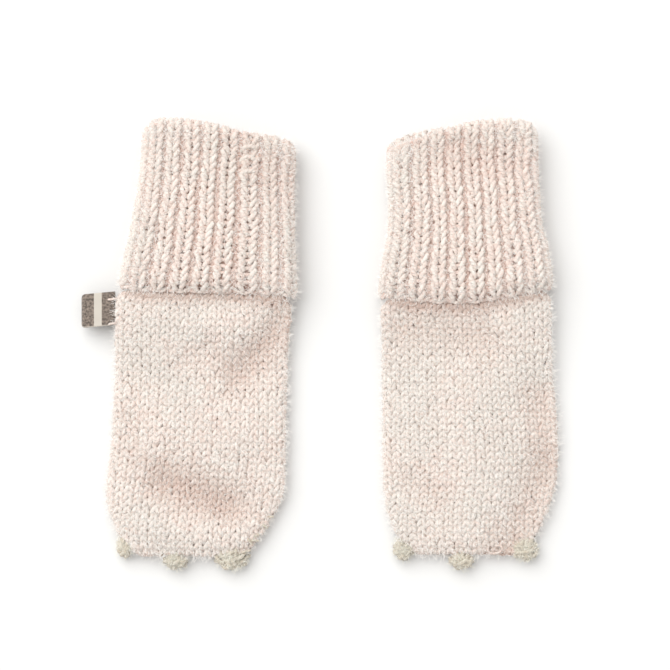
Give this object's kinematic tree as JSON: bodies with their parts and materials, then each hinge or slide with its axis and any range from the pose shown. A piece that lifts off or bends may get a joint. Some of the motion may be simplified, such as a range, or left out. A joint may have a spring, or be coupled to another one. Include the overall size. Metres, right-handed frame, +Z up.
{
  "type": "pair of baby mittens",
  "caption": "Pair of thumbless knitted baby mittens laid flat side by side, with ribbed turned-back cuffs and small crocheted claws on the tips.",
  "frame": {"origin": "middle of the bottom of the pair's box, on the surface that the mittens lie on", "axes": "+Z up from that surface, +Y from the tips towards the cuffs, +X from the left mitten to the right one"},
  "size_m": [0.1586, 0.1516, 0.0131],
  "materials": {
    "pink_yarn": "pale pink and cream soft wool yarn, matt, slightly fuzzy",
    "cream_yarn": "greenish cream wool yarn, crocheted, matt",
    "brown_tape": "woven taupe brown tape, slight satin sheen"
  },
  "bodies": {
    "root": {"left_hand_back": "pink_yarn", "left_hand_palm": "pink_yarn", "left_cuff_back": "pink_yarn", "left_cuff_palm": "pink_yarn", "left_claw_1": "cream_yarn", "left_claw_2": "cream_yarn", "left_claw_3": "cream_yarn", "left_label": "brown_tape", "right_hand_back": "pink_yarn", "right_hand_palm": "pink_yarn", "right_cuff_back": "pink_yarn", "right_cuff_palm": "pink_yarn", "right_claw_1": "cream_yarn", "right_claw_2": "cream_yarn", "right_claw_3": "cream_yarn"}
  },
  "joints": []
}
